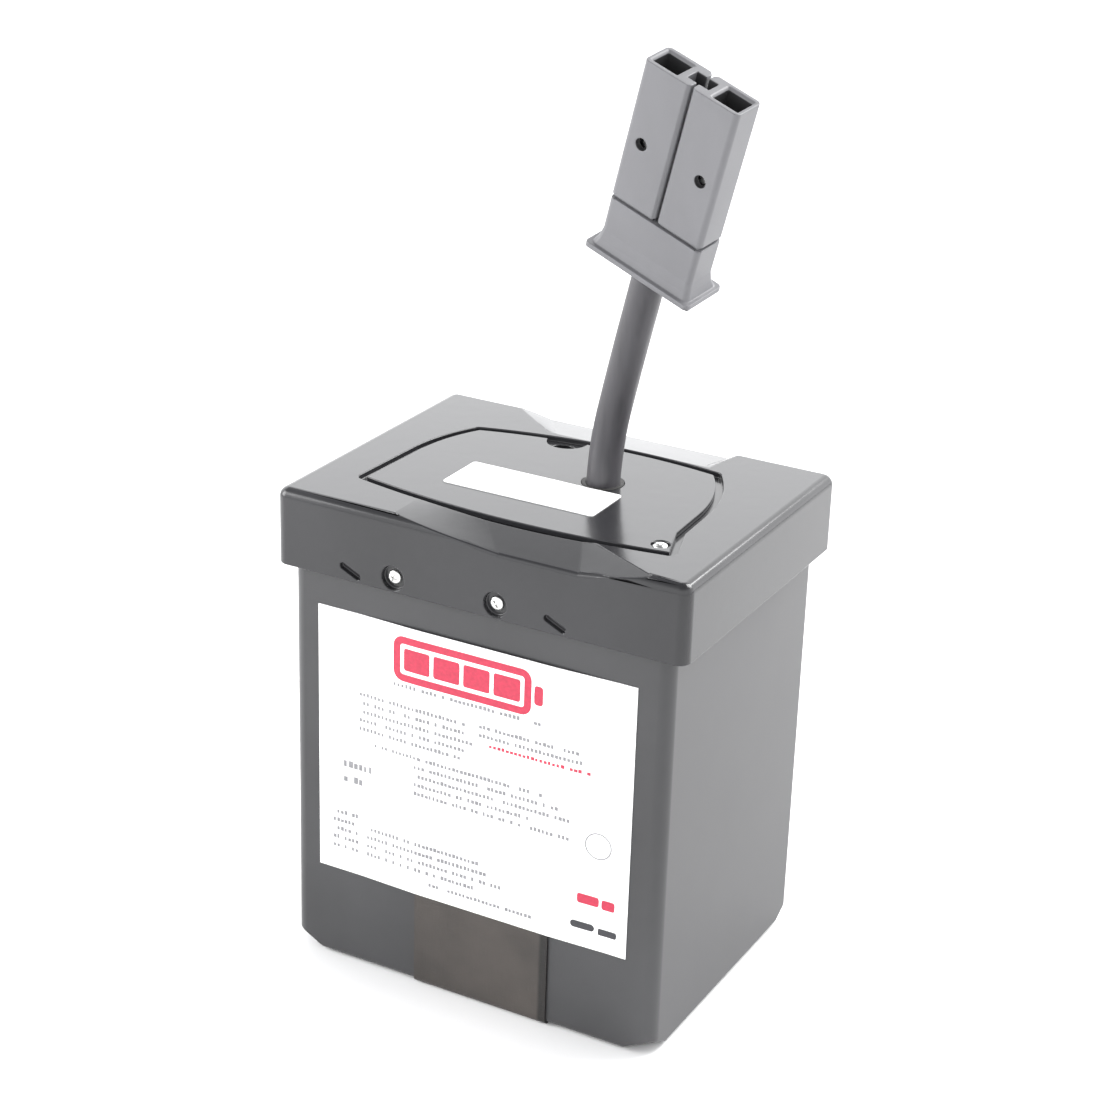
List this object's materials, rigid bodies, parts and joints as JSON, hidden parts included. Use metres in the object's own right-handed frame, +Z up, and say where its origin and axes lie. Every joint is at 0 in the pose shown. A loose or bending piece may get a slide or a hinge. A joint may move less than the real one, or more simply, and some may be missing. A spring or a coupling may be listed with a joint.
{
  "type": "ups battery cartridge",
  "caption": "Sealed battery block with a moulded cap over its terminals, finger scoops, a printed front label and a short stiff lead ending in a grey two-pole connector.",
  "frame": {"origin": "bottom centre of the cartridge, on the surface it stands on", "axes": "+Z up, -Y towards the label side, +X to the right seen from the label side"},
  "size_m": [0.0966, 0.0726, 0.2065],
  "materials": {
    "container": "moulded black plastic, satin to glossy",
    "cap": "glossy moulded black plastic",
    "band": "matt brownish-black tape",
    "label": "white printed film",
    "jacket": "dark grey lead jacket, satin",
    "connector_grey": "grey moulded polycarbonate, satin",
    "contact_copper": "silver-plated copper",
    "screw_steel": "bright zinc-plated steel",
    "tinned_brass": "tin-plated brass",
    "rubber": "black moulded rubber",
    "red_insulation": "red insulation",
    "black_insulation": "black insulation"
  },
  "bodies": {
    "root": {"battery_container": "container", "battery_cover": "container", "vent_plate": "container", "vent_caps": "rubber", "base_band": "band", "terminal_positive": "tinned_brass", "terminal_negative": "tinned_brass", "receptacle_positive": "tinned_brass", "receptacle_negative": "tinned_brass", "lead_positive": "red_insulation", "lead_negative": "black_insulation", "cap_shell": "cap", "cap_panel": "cap", "skirt_screws": "screw_steel", "panel_screw": "screw_steel", "cable_grommet": "rubber", "cable_jacket": "jacket", "connector_collar": "connector_grey", "connector_housing_positive": "connector_grey", "connector_housing_negative": "connector_grey", "contact_positive": "contact_copper", "contact_negative": "contact_copper", "contact_spring_positive": "screw_steel", "contact_spring_negative": "screw_steel", "front_label": "label", "top_label": "label"}
  },
  "joints": []
}
